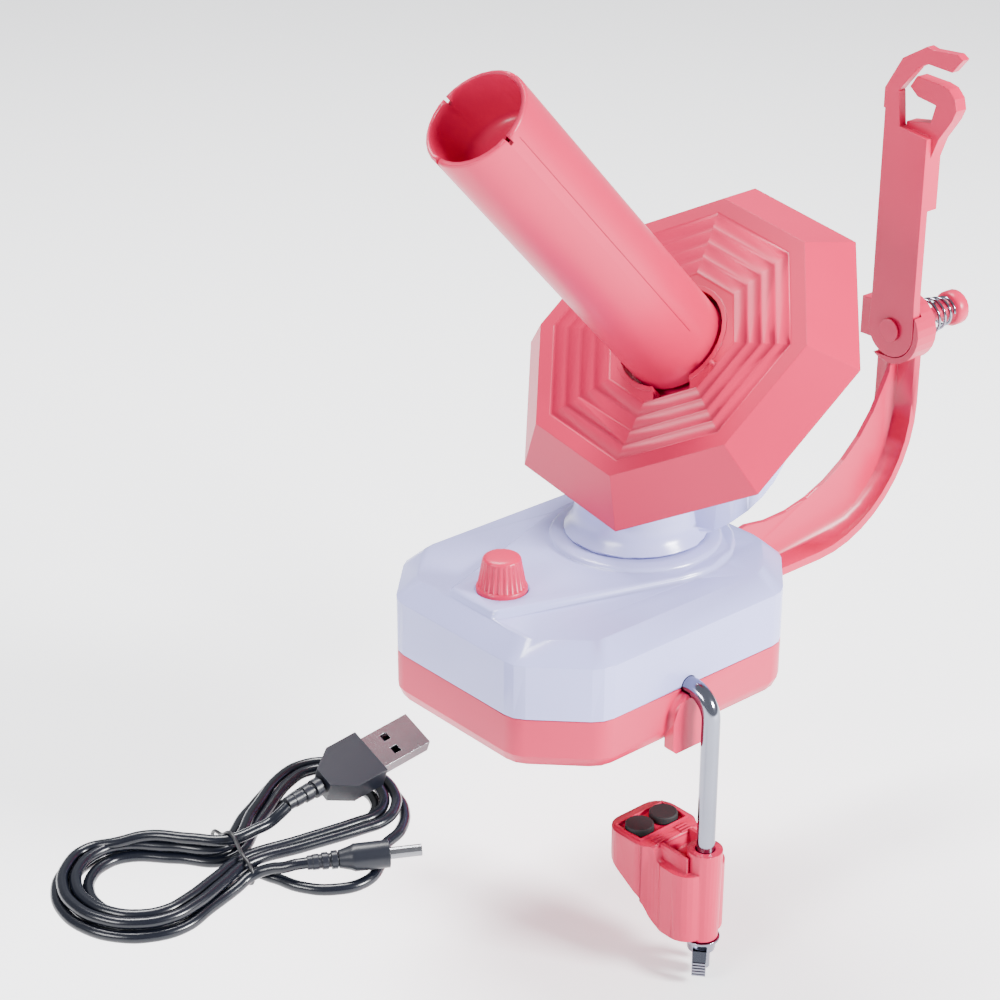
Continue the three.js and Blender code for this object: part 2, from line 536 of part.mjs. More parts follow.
// The upper arm: a long flat blade that splits into two hooks, which overlap to make the thread eye.
function armUpper() {
  const { thick, halfY, footZ, headZ } = UPPER;
  const x0 = PIVOT.x;
  const x1 = PIVOT.x + thick;
  const backX0 = x1 - 0.6;
  const backX1 = x1 + thick + 1.2;
  const blade = [...arc(0, footZ, PIVOT.endR, Math.PI, 2 * Math.PI, 14), [halfY, footZ + 12], [halfY, headZ + 14],
    [halfY - 5.6, headZ + 14], [2.6, headZ + 2], [-halfY, headZ], [-halfY, footZ + 12]];
  const frontHook = [[4.2, 164], [10.2, 164], [10.2, 171], [3.4, 182.5], [-6.7, 188.3], [-9.2, 187.6],
    [-19.6, 188.1], [-21.9, 186.6], [-17.8, 181.7], [-7.5, 182.5], [-3.5, 180.5], [4.6, 170.5]];
  const hookCurl = arc(-11, 168.2, 7.7, 60 * DEG, 180 * DEG, 4).slice(1);
  const backHook = [[2, 156], [2, 160.5], [-8.2, 162], [-9.9, 168.4], [-1.8, 169.8], [1.6, 172.6], [-1, 176.6],
    [-9.9, 175.9], ...hookCurl, [-17.2, 164.5], [-halfY - 2.6, headZ], [-halfY, headZ - 7]];
  const rib = [[halfY - 1, headZ - 30], [halfY - 1, headZ], [2.6, headZ + 1.5], [-halfY, headZ - 0.5], [-halfY, headZ - 26]];
  const pinBore = rod(PIVOT.pinR + GAP, PIVOT.pinR + GAP, 20, 'x', x0 - 5, 0, PIVOT.z, 16);
  const body = join(plateAcrossX(ccw(blade), x0, x1), plateAcrossX(ccw(frontHook), x0, x1),
    plateAcrossX(ccw(backHook), backX0, backX1), plateAcrossX(ccw(rib), backX0, backX1));
  return cut(body, pinBore);
}

function hingePin() {
  const { pinR } = PIVOT;
  const reach = SPRING.endX - PIVOT.x + 1.6;
  const profile = [[0, 0], [4.2, 0], [4.2, 0.9], [pinR, 0.9], [pinR, reach], [5.2, reach], [6.4, reach + 1.4],
    [6.4, reach + 4.8], [5, reach + 6.4], [0, reach + 7]];
  return lathe(profile, 20, 'x', PIVOT.x - 1.2, 0, PIVOT.z);
}

function hingeSpring() {
  const { startX, endX, bigR, smallR, wireR, turns } = SPRING;
  const steps = 60;
  const points = [];
  for (let i = 0; i <= steps; i += 1) {
    const t = i / steps;
    const a = t * turns * 2 * Math.PI;
    const r = bigR + (smallR - bigR) * t;
    points.push([startX + wireR + t * (endX - startX - 2 * wireR), r * Math.cos(a), PIVOT.z + r * Math.sin(a)]);
  }
  return sweep(points, wireR, 5, steps);
}

// ---------------------------------------------------------------- table clamp
function clampRod() {
  const { x, y, z, r, bendR, footZ } = ROD;
  const bend = arc(y + bendR, z - bendR, bendR, Math.PI / 2, Math.PI, 5).map(([py, pz]) => [x, py, pz]);
  const points = [[x, -CASE.halfY + 22, z], [x, -40, z], ...bend, [x, y, -10], [x, y, -45], [x, y, footZ]];
  const groove = cut(rod(r + 1, r + 1, 3, 'y', x, -36, z, 16), rod(r - 0.8, r - 0.8, 5, 'y', x, -37, z, 16));
  return cut(sweep(points, r, 12, 30), groove);
}

function rodRetainer() {
  const { x, z, r } = ROD;
  const clip = box(x - 5.6, x + 5.6, -35.6, -33.4, 11.5, 24.5);
  const grooveR = r - 0.8 + GAP;
  const slot = join(rod(grooveR, grooveR, 6, 'y', x, -38, z, 16), box(x - 2.5, x + 2.5, -38, -30, z, 26));
  return cut(clip, slot);
}

// Rounds every corner of an outline to its own radius, in six steps.
function rounded(corners) {
  return corners.flatMap(([x, y, r], i) => {
    const turn = (j) => {
      const [nx, ny] = corners[(j + corners.length) % corners.length];
      const run = Math.hypot(nx - x, ny - y);
      return [(nx - x) / run, (ny - y) / run];
    };
    const [a, b] = [turn(i - 1), turn(i + 1)];
    const half = Math.acos(Math.max(-1, Math.min(1, a[0] * b[0] + a[1] * b[1]))) / 2;
    const back = r / Math.tan(half);
    const out = r / Math.sin(half);
    const [mx, my] = [a[0] + b[0], a[1] + b[1]];
    const m = Math.hypot(mx, my);
    const [cx, cy] = [x + (mx / m) * out, y + (my / m) * out];
    const from = Math.atan2(y + a[1] * back - cy, x + a[0] * back - cx);
    let sweepAngle = Math.atan2(y + b[1] * back - cy, x + b[0] * back - cx) - from;
    sweepAngle -= 2 * Math.PI * Math.round(sweepAngle / (2 * Math.PI));
    return Array.from({ length: 7 }, (_, k) => [
      cx + r * Math.cos(from + (sweepAngle * k) / 6), cy + r * Math.sin(from + (sweepAngle * k) / 6)]);
  });
}

function clampJaw() {
  const { x, y, r } = ROD;
  const { topZ, footZ, padZ, padY, collarR, halfX, frontDrop } = JAW;
  const farY = padY + 9.5;
  const halfPlan = [[halfX, farY, 7], [halfX, padY - 8, 5], [9, y + 14, 6], [10.6, y + 9, 5], [10.6, y - 3, 7]];
  const plan = [...halfPlan.map(([w, py, pr]) => [x + w, py, pr]),
    ...halfPlan.map(([w, py, pr]) => [x - w, py, pr]).reverse()];
  const side = [[farY + 1, padZ, 0.1], [farY + 1, padZ - 9, 6], [y + 17, padZ - 20, 5], [y + 13, footZ + 1, 6],
    [y - 12, footZ + 1, 0.1], [y - 12, padZ - frontDrop, 0.1], [y + 11.5, padZ - frontDrop, 2], [y + 13.5, padZ, 1]];
  const solidBody = plate(ccw(rounded(plan)), footZ, padZ).intersect(
    plateAcrossX(ccw(rounded(side)), x - halfX - 1, x + halfX + 1));
  const collar = rod(collarR - 0.5, collarR, topZ - footZ, 'z', x, y, footZ, 28);
  const rim = box(x - 11, x + 11, padY - 6.4, padY + 6.4, padZ - 0.5, padZ + 0.7);
  const padRecess = box(x - 10.2, x + 10.2, padY - 5.6, padY + 5.6, padZ - 0.6, padZ + 2);
  const padSeats = [-1, 1].map((s) => rod(5.2, 5.2, 4, 'z', x + s * 5.4, padY, padZ - 0.9, 20));
  const ribs = [-1, 1].flatMap((s) => [0, 1, 2].map((i) => box(x + s * 5.4 - 2.4, x + s * 5.4 + 2.4,
    padY - 8.4 - i * 1.4, padY - 7.8 - i * 1.4, padZ - 0.5, padZ + 0.5)));
  const fins = [-1, 1].map((s) => box(x + s * 6.6 - 0.7, x + s * 6.6 + 0.7, y + 1, y + 13, padZ - frontDrop - 1, padZ + 0.4));
  const body = cut(join(solidBody, rim), padRecess, ...padSeats);
  return cut(join(body, collar, ...ribs, ...fins), rod(r + GAP, r + GAP, 50, 'z', x, y, footZ - 5, 24));
}

const jawPad = (side) => rod(4.9, 4.7, 2.6, 'z', ROD.x + side * 5.4, JAW.padY, JAW.padZ - 0.9 + GAP, 20);
const NUT_TOP = JAW.footZ - 1.6;

// The wing nut, about its own axis: two ribbed wings that hang down beside the rod's foot.
function wingNut() {
  const hub = rod(4.6, 5, 3.4, 'z', 0, 0, NUT_TOP - 3.4, 24);
  const wings = [-1, 1].map((s) => plateAcrossY(ccw([[s * 3.6, NUT_TOP - 0.8], [s * 6.4, NUT_TOP - 1.2],
    [s * 8, NUT_TOP - 5], [s * 8.2, NUT_TOP - 9.4], [s * 7.2, NUT_TOP - 10.3], [s * 5.6, NUT_TOP - 9.8],
    [s * 4, NUT_TOP - 4]]), -2.3, 2.3));
  const ribs = [-1, 1].flatMap((s) => [0, 1, 2, 3, 4].map((i) =>
    box(s * 8.1 - 0.35, s * 8.1 + 0.35, -2.1, 2.1, NUT_TOP - 9.3 + i * 1.1, NUT_TOP - 8.8 + i * 1.1)));
  return cut(join(hub, ...wings, ...ribs), rod(ROD.r + GAP, ROD.r + GAP, 20, 'z', 0, 0, NUT_TOP - 15, 24));
}

// ---------------------------------------------------------------- drive and control
function motor() {
  const [x, y] = MOTOR;
  const can = lathe([[0, 3.6], [10.5, 3.6], [12, 5], [12, 30.4], [11, 31.4], [0, 31.4]], 24, 'z', x, y, 0);
  return join(can, rod(3, 3, 1.3, 'z', x, y, 31.2, 16));
}

function motorPlate() {
  const [x, y] = MOTOR;
  const [ix, iy] = IDLER;
  const web = box(x - 13, ix + 9, 3, 30, 31.8, 33.2);
  const clearMotor = rod(3.4, 3.4, 4, 'z', x, y, 31, 16);
  const clearIdler = rod(4.8, 4.8, 6, 'z', ix, iy, 30, 16);
  const rotorRoom = spurRadius(ROTOR_TEETH) - 13;
  return cut(web, clearMotor, clearIdler, rod(rotorRoom, rotorRoom, 6, 'z', TURRET.x, 0, 30, 32));
}

function pinion() {
  const body = spur(PINION_TEETH, pinionPhase, HIGH_GEAR_Z, HIGH_GEAR_Z + SPUR_FACE);
  const hub = rod(3.6, 3.6, 5.4, 'z', 0, 0, HIGH_GEAR_Z - 0.4, 12);
  return join(body, hub, rod(1, 1, 2, 'z', 0, 0, HIGH_GEAR_Z - 1.2, 8));
}

function idler() {
  const wheel = spur(IDLER_WHEEL_TEETH, idlerWheelPhase, HIGH_GEAR_Z, HIGH_GEAR_Z + SPUR_FACE - 0.6);
  const small = spur(IDLER_PINION_TEETH, idlerPinionPhase, LOW_GEAR_Z, HIGH_GEAR_Z - 3.4);
  const neck = rod(4, 4, 4, 'z', 0, 0, HIGH_GEAR_Z - 3.6, 16);
  return cut(join(wheel, small, neck), rod(1.5 + GAP, 1.5 + GAP, 30, 'z', 0, 0, LOW_GEAR_Z - 5, 12));
}

function speedControl() {
  const pot = join(rod(7.5, 7.5, 5, 'z', KNOB.x, 0, 33.4, 20), rod(3.4, 3.4, 6, 'z', KNOB.x, 0, 37, 16));
  return cut(pot, rod(KNOB.shaftR + GAP, KNOB.shaftR + GAP, 20, 'z', KNOB.x, 0, 36, 12));
}

// The speed knob, about its own axis: a plain skirt, a narrowing fluted grip and a flat crown.
function knob() {
  const { baseR, topR, height, flutes, shaftR } = KNOB;
  const z0 = PLATFORM_Z - 0.6;
  const skirt = rod(baseR, baseR, 1.6, 'z', 0, 0, z0, 24);
  const star = (r, z) => arc(0, 0, r, 0, 2 * Math.PI * (1 - 0.5 / flutes), 2 * flutes - 1)
    .map(([x, y], i) => [x * (1 - 0.05 * (i % 2)), y * (1 - 0.05 * (i % 2)), z]);
  const grip = loft([star(baseR - 0.3, z0 + 1.4), star(topR, z0 + height - 1.2)]);
  const crown = rod(topR - 0.4, topR - 1.3, 1.8, 'z', 0, 0, z0 + height - 1.4, 24);
  return cut(join(skirt, grip, crown), rod(shaftR + GAP, shaftR + GAP, 7, 'z', 0, 0, z0 - 1, 12));
}

function dcJack() {
  const back = CASE.halfY;
  const socket = rod(1.9, 1.9, 9, 'y', 13, back - 8.5, 9, 12);
  return cut(box(8.9, 17.1, back - 13, back - 0.4, 6.4, 11.6), socket);
}

// ---------------------------------------------------------------- lead
const ellipse = (cx, cy, rx, ry, from, to, steps) => arc(0, 0, 1, from, to, steps)
  .map(([x, y]) => [cx + rx * x, cy + ry * y]);

// The hank: two wide lobes of loops, tied at a narrow waist, with one low strand bulging towards the DC plug.
function hankSolid() {
  const { layer, topZ, waist } = HANK;
  const left = ellipse(-183, -9, 24, 26, 55 * DEG, 305 * DEG, 12);
  const right = ellipse(-114, -11, 20, 25, -120 * DEG, 125 * DEG, 12);
  const high = [waist.x, waist.y + waist.half];
  const low = [waist.x, waist.y - waist.half];
  const loops = plate([...left, low, ...right, high], 0.05, topZ);
  const strand = plate(ccw([low, [-150, -41], [-142, -49], [-131, -51.5], [-124, -46], [-122, -30], [-140, -24]]), 0.05, layer);
  const tieRoom = box(waist.x - 1.5, waist.x + 1.5, waist.y - 30, waist.y + 30, -1, 1.3);
  return cut(join(loops, strand), tieRoom);
}

function cordTie() {
  const { topZ, waist } = HANK;
  const reach = waist.half + 1.6;
  const band = box(waist.x - 0.6, waist.x + 0.6, waist.y - reach - 0.9, waist.y + reach + 0.9, 0.05, topZ + 1.2);
  return cut(band, box(waist.x - 2, waist.x + 2, waist.y - reach, waist.y + reach, 1, topZ + GAP));
}

// The USB plug lies on the loops, rolled a little towards the open side; its own X runs out of the shell.
const usbPlug = new THREE.Group();
usbPlug.position.set(-104, -15, 16);
usbPlug.rotation.set(25 * DEG, -5 * DEG, 3 * DEG);

function usbShell() {
  const sleeve = cut(box(GAP, 18.5, -6, 6, -2.25, 2.25), box(4, 20, -5.6, 5.6, -1.85, 1.85));
  const tongue = box(3, 17.5, -5.2, 5.2, -1.4, -0.2);
  const windows = [-1, 1].map((side) => box(6.5, 9, side * 2.6 - 1.2, side * 2.6 + 1.2, 1, 4));
  return cut(join(sleeve, tongue), ...windows);
}

function usbBody() {
  const grip = plate([[0, -8], [0, 8], [-11, 8], [-18, 3.4], [-18, -3.4], [-11, -8]].reverse(), -4, 4);
  const relief = [0, 1, 2].map((i) => rod(2.9 - i * 0.3, 2.9 - i * 0.3, 2.4, 'x', -21.2 - i * 3.6, 0, 0, 12));
  return join(grip, ...relief, rod(2.1, 2.1, 13, 'x', -31, 0, 0, 12));
}

// The DC plug rests across the low strand; its own X runs out of the barrel.
const dcPlug = new THREE.Group();
dcPlug.position.set(-123.6, -49, 8);
dcPlug.rotation.set(0, 0, -29 * DEG);

function dcBody() {
  const grip = lathe([[0, -14.5], [2.6, -14.5], [3.6, -11], [4.1, -10], [4.1, 0], [0, 0]], 16, 'x');
  const relief = [0, 1, 2].map((i) => rod(2.7 - i * 0.2, 2.7 - i * 0.2, 1.8, 'x', -16.6 - i * 2.7, 0, 0, 12));
  return join(grip, ...relief, rod(2.1, 2.1, 10, 'x', -23.5, 0, 0, 12));
}

const dcBarrel = () => cut(rod(1.75, 1.75, 9.5 - GAP, 'x', GAP, 0, 0, 16), rod(0.7, 0.7, 9, 'x', 2, 0, 0, 8));

function cordTail(points) {
  const path = points.map((p) => new THREE.Vector3(...p));
  const straight = path[0].distanceTo(path[path.length - 1]);
  return sweep(points, CORD_R, 8, Math.ceil(straight / (4 * CORD_R)));
}

const USB_TAIL = [[-135.4, -16.6, 13], [-138.6, -16.7, 11.6], [-142, -16.4, 10], [-146, -16.2, 9.6]];
const DC_TAIL = [[-144.6, -37.4, 8], [-147, -35.6, 7.6], [-149.4, -33.4, 6.6], [-151.6, -30.6, 5.8]];

// ---------------------------------------------------------------- assembly
node('lower_case', lowerCase(), pink);
node('upper_case', upperCase(), white);
SCREW_POSTS.forEach(([x, y], i) => node(`case_screw_${i + 1}`, screwUp(x, y, 0.6, 2.8, 21), steel));
node('centre_column', centreColumn(), nylon);
node('column_screw', screwUp(TURRET.x, 0, 0.6, 3, 12), steel);
node('fixed_bevel_gear', fixedBevelGear(), nylon).position.set(TURRET.x, 0, APEX_Z);
const capHead = rod(5.2, 5.2, 1.4, 'z', TURRET.x, 0, fixedGearTopZ + GAP, 16);
const capShank = rod(0.8, 0.8, 8, 'z', TURRET.x, 0, fixedGearTopZ - 7, 8);
node('column_cap_screw', join(capHead, capShank), steel);
node('rotor_housing', rotorHousing(), white);
node('rotor_gear', rotorGear(), nylon).position.set(TURRET.x, 0, 0);
const bush = ringPiece(BUSH_R, COLUMN.r + GAP, LOW_GEAR_Z + 0.2, ROTOR_FLOOR_Z + 9.6);
node('rotor_bush', bush, brass).position.set(TURRET.x, 0, 0);
const washer = ringPiece(9, COLUMN.r + GAP, LOW_GEAR_Z - 1.4, LOW_GEAR_Z - GAP, 20);
node('thrust_washer', washer, nylon).position.set(TURRET.x, 0, 0);

winder.add(spindleFrame);
node('spindle_axle', spindleAxle(), steel, spindleFrame);
node('spindle_gear', spindleGear(), nylon, spindleFrame);
node('flange_plate', flangePlate(), pink, spindleFrame);
node('spindle_cap', spindleCap(), steel, spindleFrame);
node('bobbin_tube', bobbinTube(), pink, spindleFrame);

node('motor', motor(), steel);
node('motor_plate', motorPlate(), steel);
node('motor_pinion', pinion(), brass).position.set(MOTOR[0], MOTOR[1], 0);
node('idler_gear', idler(), nylon).position.set(IDLER[0], IDLER[1], 0);
node('idler_axle', rod(1.5, 1.5, 36, 'z', IDLER[0], IDLER[1], 2.4, 12), steel);
node('control_board', box(-41, -11, -40, -14, 8, 9.6), board);
node('speed_control', speedControl(), steel);
node('speed_shaft', rod(KNOB.shaftR, KNOB.shaftR, 13.6, 'z', KNOB.x, 0, 36.4, 12), brass);
node('speed_knob', knob(), pink).position.set(KNOB.x, 0, 0);
node('dc_jack', dcJack(), blackPlastic);

node('guide_arm_lower', armLower(), pink);
[-1, 1].forEach((side, i) => {
  node(`arm_screw_${i + 1}`, screwUp(ARM_SCREW.x, side * ARM_SCREW.y, 2.6, 2.7, 12), steel);
});
node('guide_arm_upper', armUpper(), pink);
node('hinge_pin', hingePin(), pink);
node('hinge_spring', hingeSpring(), steel);

node('clamp_rod', clampRod(), steel);
node('rod_retainer', rodRetainer(), steel);
node('clamp_jaw', clampJaw(), pink);
[-1, 1].forEach((side, i) => node(`jaw_pad_${i + 1}`, jawPad(side), blackRubber));
node('clamp_washer', ringPiece(6, ROD.r + GAP, 0, 1), steel).position.set(ROD.x, ROD.y, JAW.footZ - 1.3);
const nut = node('wing_nut', wingNut(), steel);
nut.position.set(ROD.x, ROD.y, 0);
nut.rotation.z = 40 * DEG;

winder.add(usbPlug);
node('usb_plug_shell', usbShell(), steel, usbPlug);
node('usb_plug_body', usbBody(), blackPlastic, usbPlug);
winder.add(dcPlug);
node('dc_plug_barrel', dcBarrel(), steel, dcPlug);
node('dc_plug_body', dcBody(), blackPlastic, dcPlug);
node('cord_hank', hankSolid(), blackPlastic);
node('cord_tie', cordTie(), blackPlastic);
node('cord_tail_usb', cordTail(USB_TAIL), blackPlastic);
node('cord_tail_dc', cordTail(DC_TAIL), blackPlastic);

export default winder;
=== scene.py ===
import json
import math
import bpy
import bmesh
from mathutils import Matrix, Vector

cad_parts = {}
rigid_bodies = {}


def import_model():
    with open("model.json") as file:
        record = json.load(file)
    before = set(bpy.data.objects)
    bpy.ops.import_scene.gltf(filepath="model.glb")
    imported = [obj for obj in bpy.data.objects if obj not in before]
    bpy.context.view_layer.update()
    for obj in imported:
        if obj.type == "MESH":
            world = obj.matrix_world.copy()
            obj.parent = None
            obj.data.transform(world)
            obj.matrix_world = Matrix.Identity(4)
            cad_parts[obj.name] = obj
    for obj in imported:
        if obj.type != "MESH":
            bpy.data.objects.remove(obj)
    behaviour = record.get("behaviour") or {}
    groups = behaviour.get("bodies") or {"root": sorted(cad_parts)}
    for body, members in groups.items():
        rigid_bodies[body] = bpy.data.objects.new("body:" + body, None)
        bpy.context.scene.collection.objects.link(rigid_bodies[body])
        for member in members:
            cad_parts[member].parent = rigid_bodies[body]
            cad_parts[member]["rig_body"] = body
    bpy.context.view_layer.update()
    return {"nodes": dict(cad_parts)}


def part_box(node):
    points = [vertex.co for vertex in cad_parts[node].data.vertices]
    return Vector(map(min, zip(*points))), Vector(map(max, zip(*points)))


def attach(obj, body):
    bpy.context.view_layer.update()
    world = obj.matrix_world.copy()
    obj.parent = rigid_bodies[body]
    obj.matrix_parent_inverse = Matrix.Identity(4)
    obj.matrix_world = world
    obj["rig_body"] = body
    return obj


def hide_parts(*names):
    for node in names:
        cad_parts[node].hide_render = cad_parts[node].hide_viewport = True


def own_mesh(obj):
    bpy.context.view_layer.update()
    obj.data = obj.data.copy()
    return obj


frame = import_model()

bpy.ops.object.select_all(action="DESELECT")

# Studio: a pale floor below the clamp that glows faintly, a strong soft light on the right, weaker ones on
# the left and above, and a bright cool surround, as in a catalogue picture.
view_from = Vector((-0.4758, -0.506, 0.3942))
view_along = Vector((0.5897, 0.6837, -0.4299))
camera_data = bpy.data.cameras.new("camera")
camera_data.lens = 86.4
camera_data.sensor_width = 36
camera = bpy.data.objects.new("camera", camera_data)
bpy.context.collection.objects.link(camera)
camera.location = view_from
camera.rotation_euler = view_along.to_track_quat("-Z", "Y").to_euler()
bpy.context.scene.camera = camera

bpy.ops.mesh.primitive_plane_add(size=6, location=(0, 0, -0.0866))
floor = bpy.context.object
floor.name = "floor"
floor_paint = bpy.data.materials.new("floor_paint")
floor_paint.use_nodes = True
floor_shader = floor_paint.node_tree.nodes["Principled BSDF"]
floor_shader.inputs["Base Color"].default_value = (0.94, 0.94, 0.95, 1)
floor_shader.inputs["Roughness"].default_value = 0.7
floor_shader.inputs["Emission Color"].default_value = (0.97, 0.98, 1.0, 1)
floor_shader.inputs["Emission Strength"].default_value = 0.45
floor.data.materials.append(floor_paint)


def soft_light(name, place, aim, size, power):
    lamp = bpy.data.lights.new(name, "AREA")
    lamp.shape = "RECTANGLE"
    lamp.size = size
    lamp.size_y = size * 0.6
    lamp.energy = power
    holder = bpy.data.objects.new(name, lamp)
    bpy.context.collection.objects.link(holder)
    holder.location = place
    holder.rotation_euler = (Vector(aim) - Vector(place)).to_track_quat("-Z", "Y").to_euler()


soft_light("left_light", (-1.1, -0.1, 0.6), (0, 0, 0.08), 0.5, 15)
soft_light("key_light", (0.45, -1.15, 0.6), (0, 0, 0.08), 0.4, 62)
soft_light("top_light", (0.1, 0.5, 1.3), (0, 0, 0.05), 0.7, 40)
surround = bpy.data.worlds.new("surround")
bpy.context.scene.world = surround
surround.use_nodes = True
surround.node_tree.nodes["Background"].inputs["Color"].default_value = (0.93, 0.95, 1.0, 1)
surround.node_tree.nodes["Background"].inputs["Strength"].default_value = 0.62

# Lead: a limp round black PVC cord 3.4 mm thick, wound into four and a half long loops that are pinched at
# the waist by a wire tie. One end comes off the top of the waist to the USB plug, the other from its side
# to the DC plug, and one low strand bulges out under the DC plug.
MM = 0.001
cord_thick = 3.4
waist = (-155, -16)
left_lobe = (-183, -9)
right_lobe = (-114, -11)
low_z = cord_thick / 2 + 0.1
high_z = low_z + 3.35


def lobe_arc(centre, across, along, start, stop, count, z):
    points = []
    for step in range(count):
        turn = math.radians(start + (stop - start) * step / (count - 1))
        points.append((centre[0] + across * math.cos(turn), centre[1] + along * math.sin(turn), z))
    return points


def half_left(across, along, beside, z, shift=0):
    """Round the left lobe, then through the waist on the near side."""
    centre = (left_lobe[0] + shift, left_lobe[1])
    return lobe_arc(centre, across, along, 72, 288, 9, z) + [(waist[0], waist[1] - beside, z)]


def half_right(across, along, beside, z, next_z, start=-108):
    """Round the right lobe, then through the waist on the far side."""
    return lobe_arc(right_lobe, across, along, start, 108, 9, z) + [(waist[0], waist[1] + beside, next_z)]


usb_tail = [(-135.4, -16.6, 13), (-138.6, -16.7, 11.6), (-142, -16.4, 10), (-146, -16.2, 9.6)]
dc_tail = [(-144.6, -37.4, 8), (-147, -35.6, 7.6), (-149.4, -33.4, 6.6), (-151.6, -30.6, 5.8)]
cord_route = usb_tail + [(-155, -14.6, 8.9), (-163, -6.5, 8.8), (-171, 3.5, 8.2)]
cord_route += half_left(20.3, 22.3, 7.3, high_z)[1:]
cord_route += half_right(16.6, 20.6, 4.2, high_z, high_z)
cord_route += half_left(16.5, 18.5, 4.2, high_z)
cord_route += half_right(13.2, 16.6, 2.4, high_z, low_z)
cord_route += half_left(14.4, 16.4, 2.4, low_z, 1.5)
cord_route += half_right(11.4, 13, 6, low_z, low_z)
cord_route += half_left(18.4, 20.4, 6, low_z)
cord_route += [(-150.5, -30, low_z), (-147.5, -38.5, low_z), (-141, -45.8, low_z), (-132, -48.6, low_z)]
cord_route += [(-124, -45, low_z), (-117, -38, low_z), (-108, -34.5, low_z), (-100.4, -27, low_z)]
cord_route += half_right(18, 23.3, 9.8, low_z, low_z, -20)
cord_route += lobe_arc(left_lobe, 22.2, 24.2, 72, 270, 9, low_z) + [(-163, -28.5, 2.6), (-156, -27.6, 4)]
cord_route += dc_tail[::-1]

# The end is pushed a little way into the strain relief, and a long run gets one more point at its middle.
into_relief = 0.9
longest_run = 18
last, before = cord_route[-1], cord_route[-2]
stride = math.dist(last, before)
cord_route.append(tuple(a + (a - b) / stride * into_relief for a, b in zip(last, before)))
runs = cord_route[:1]
for place in cord_route[1:]:
    if math.dist(runs[-1], place) > longest_run:
        runs.append(tuple((a + b) / 2 for a, b in zip(runs[-1], place)))
    runs.append(place)

cord_line = bpy.data.curves.new("lead_cord", "CURVE")
cord_line.dimensions = "3D"
cord_line.bevel_depth = cord_thick / 2 * MM
cord_line.bevel_resolution = 5
cord_line.resolution_u = 8
cord_spline = cord_line.splines.new("BEZIER")
cord_spline.bezier_points.add(len(runs) - 1)
for knot, place in zip(cord_spline.bezier_points, runs):
    knot.co = Vector(place) * MM
    knot.handle_left_type = "AUTO"
    knot.handle_right_type = "AUTO"
cord = bpy.data.objects.new("lead_cord", cord_line)
bpy.context.collection.objects.link(cord)


def skin_group():
    """Moulded surface: a faint cloud in colour and gloss, and the fine ripple of a mould or a casting."""
    group = bpy.data.node_groups.new("moulded_skin", "ShaderNodeTree")
    for name, kind in (("Colour", "NodeSocketColor"), ("Gloss", "NodeSocketFloat"),
                       ("Cloud", "NodeSocketFloat"), ("Ripple", "NodeSocketFloat")):
        group.interface.new_socket(name, in_out="INPUT", socket_type=kind)
    for name, kind in (("Colour", "NodeSocketColor"), ("Roughness", "NodeSocketFloat"),
                       ("Height", "NodeSocketFloat")):
        group.interface.new_socket(name, in_out="OUTPUT", socket_type=kind)
    nodes = group.nodes
    link = group.links.new
    given = nodes.new("NodeGroupInput")
    made = nodes.new("NodeGroupOutput")
    place = nodes.new("ShaderNodeTexCoord")
    cloud = nodes.new("ShaderNodeTexNoise")
    cloud.inputs["Detail"].default_value = 3
    ripple = nodes.new("ShaderNodeTexNoise")
    ripple.inputs["Detail"].default_value = 2
    specks = nodes.new("ShaderNodeTexNoise")
    specks.inputs["Scale"].default_value = 900
    for texture in (cloud, ripple, specks):
        link(place.outputs["Object"], texture.inputs["Vector"])
    link(given.outputs["Cloud"], cloud.inputs["Scale"])
    link(given.outputs["Ripple"], ripple.inputs["Scale"])
    tint = nodes.new("ShaderNodeMapRange")
    tint.inputs["From Min"].default_value = 0.3
    tint.inputs["From Max"].default_value = 0.7
    tint.inputs["To Min"].default_value = 0.94
    tint.inputs["To Max"].default_value = 1.04
    link(cloud.outputs["Fac"], tint.inputs["Value"])
    shade = nodes.new("ShaderNodeVectorMath")
    shade.operation = "SCALE"
    link(given.outputs["Colour"], shade.inputs[0])
    link(tint.outputs["Result"], shade.inputs["Scale"])
    link(shade.outputs["Vector"], made.inputs["Colour"])
    spread = nodes.new("ShaderNodeMapRange")
    spread.inputs["To Min"].default_value = -0.03
    spread.inputs["To Max"].default_value = 0.03
    link(specks.outputs["Fac"], spread.inputs["Value"])
    gloss = nodes.new("ShaderNodeMath")
    link(given.outputs["Gloss"], gloss.inputs[0])
    link(spread.outputs["Result"], gloss.inputs[1])
    link(gloss.outputs["Value"], made.inputs["Roughness"])
    link(ripple.outputs["Fac"], made.inputs["Height"])
    return group


moulded_skin = skin_group()


